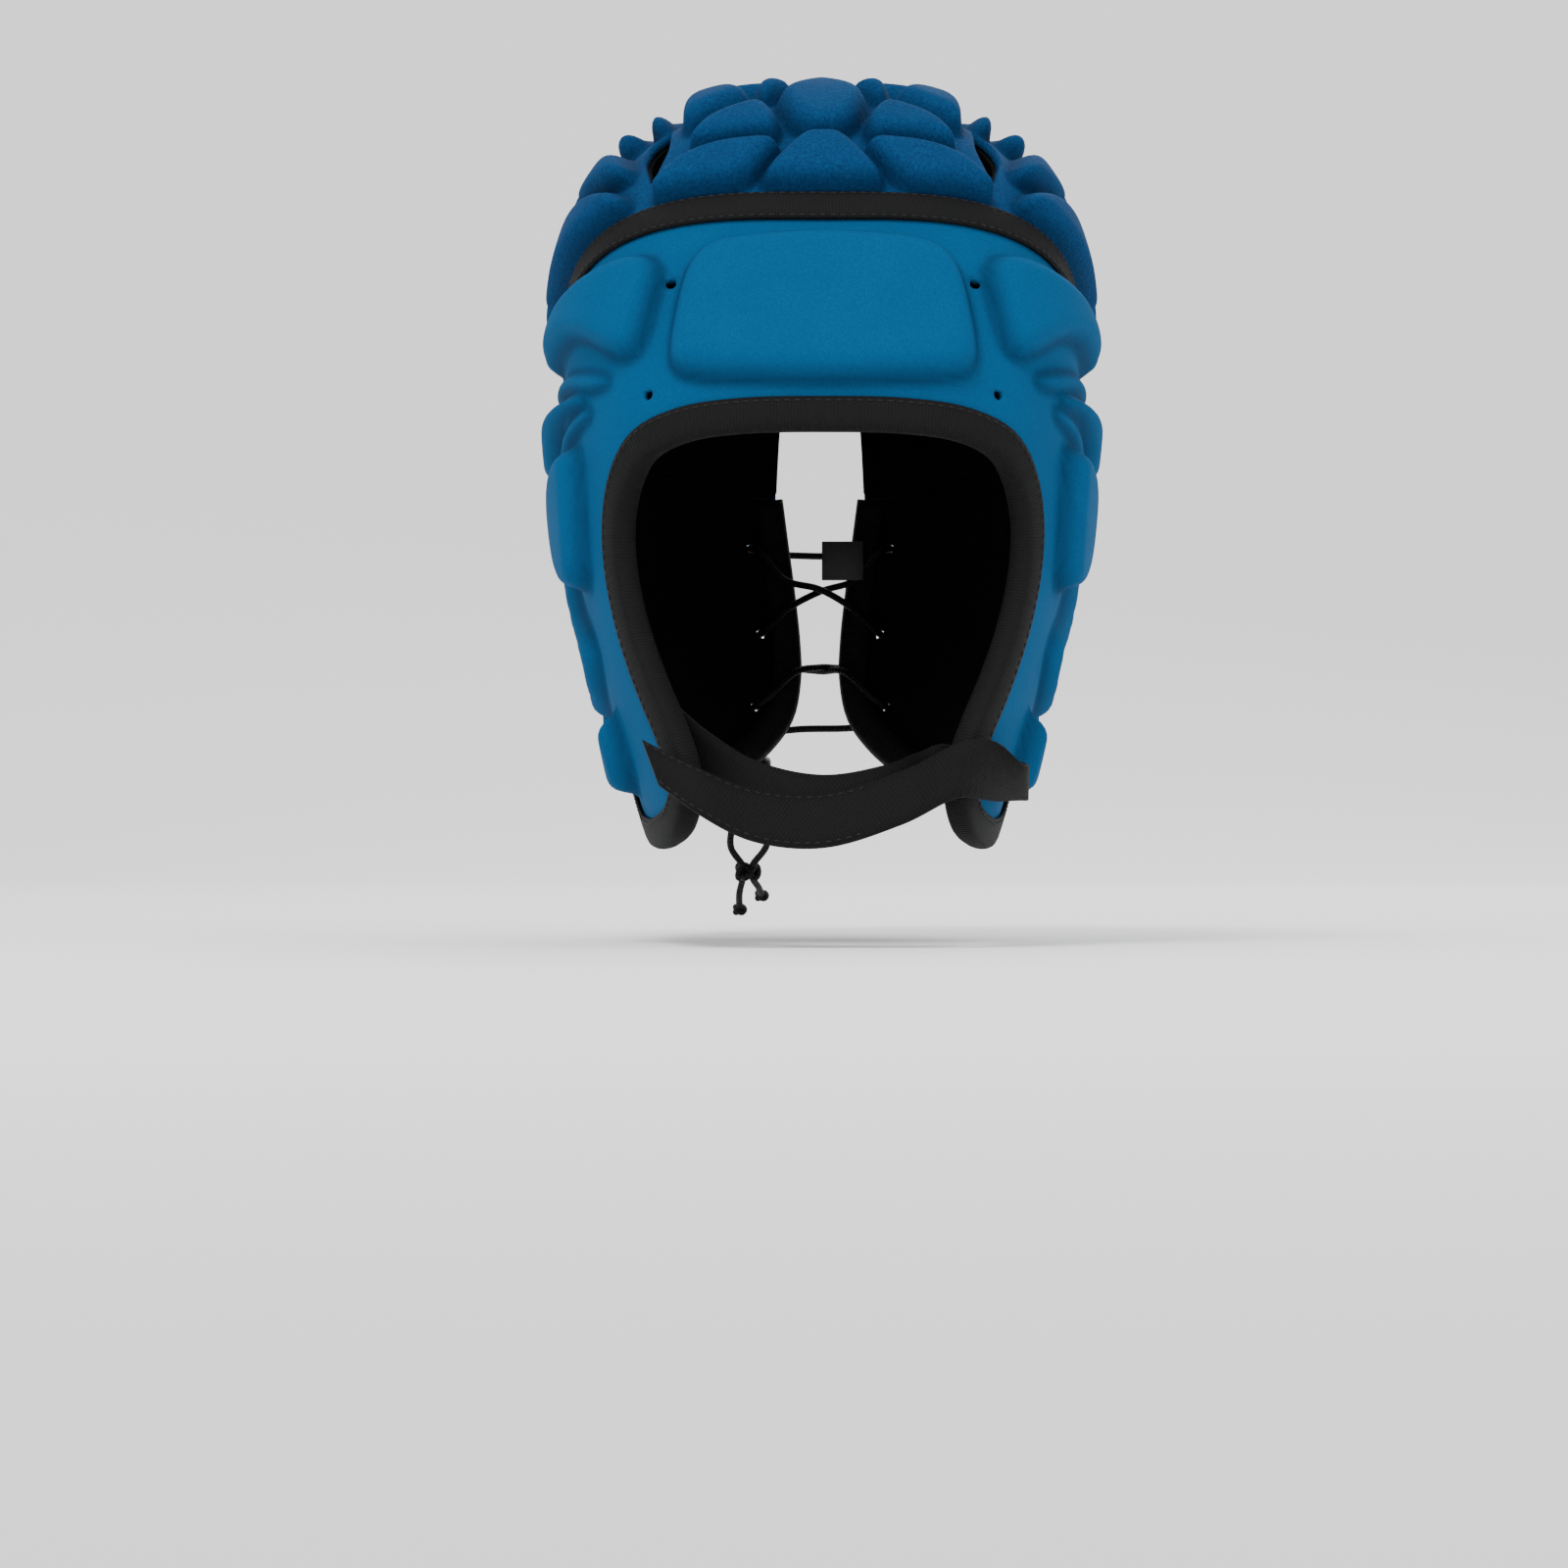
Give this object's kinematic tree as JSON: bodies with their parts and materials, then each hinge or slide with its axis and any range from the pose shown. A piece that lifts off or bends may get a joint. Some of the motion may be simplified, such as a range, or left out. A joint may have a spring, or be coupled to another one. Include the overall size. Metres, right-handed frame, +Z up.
{
  "type": "padded rugby scrum cap",
  "caption": "Padded foam scrum cap: vented, segmented crown over a moulded headband with ear flaps, bound edges, laced back and webbing chin strap.",
  "frame": {"origin": "on the crown's lining, where it rests on the top of the head", "axes": "+Z up, -Y the way the face looks, +X to the wearer's left"},
  "size_m": [0.1904, 0.2843, 0.2877],
  "materials": {
    "crown_fabric": "matte",
    "headband_fabric": "matte",
    "lining": "matte",
    "binding": "matte",
    "webbing": "matte",
    "lace": "matte",
    "lock_plastic": "satin",
    "label": "matte"
  },
  "bodies": {
    "root": {"crown_shell": "crown_fabric", "crown_lining": "lining", "headband_shell": "headband_fabric", "headband_lining": "lining", "seam_tape": "binding", "edge_binding": "binding", "chin_strap": "webbing", "lace_cord": "lace", "lace_tail_left": "lace", "lace_tail_right": "lace", "lock_body": "lock_plastic", "lock_button": "lock_plastic", "tail_knot": "lace", "label_tab": "label"}
  },
  "joints": []
}
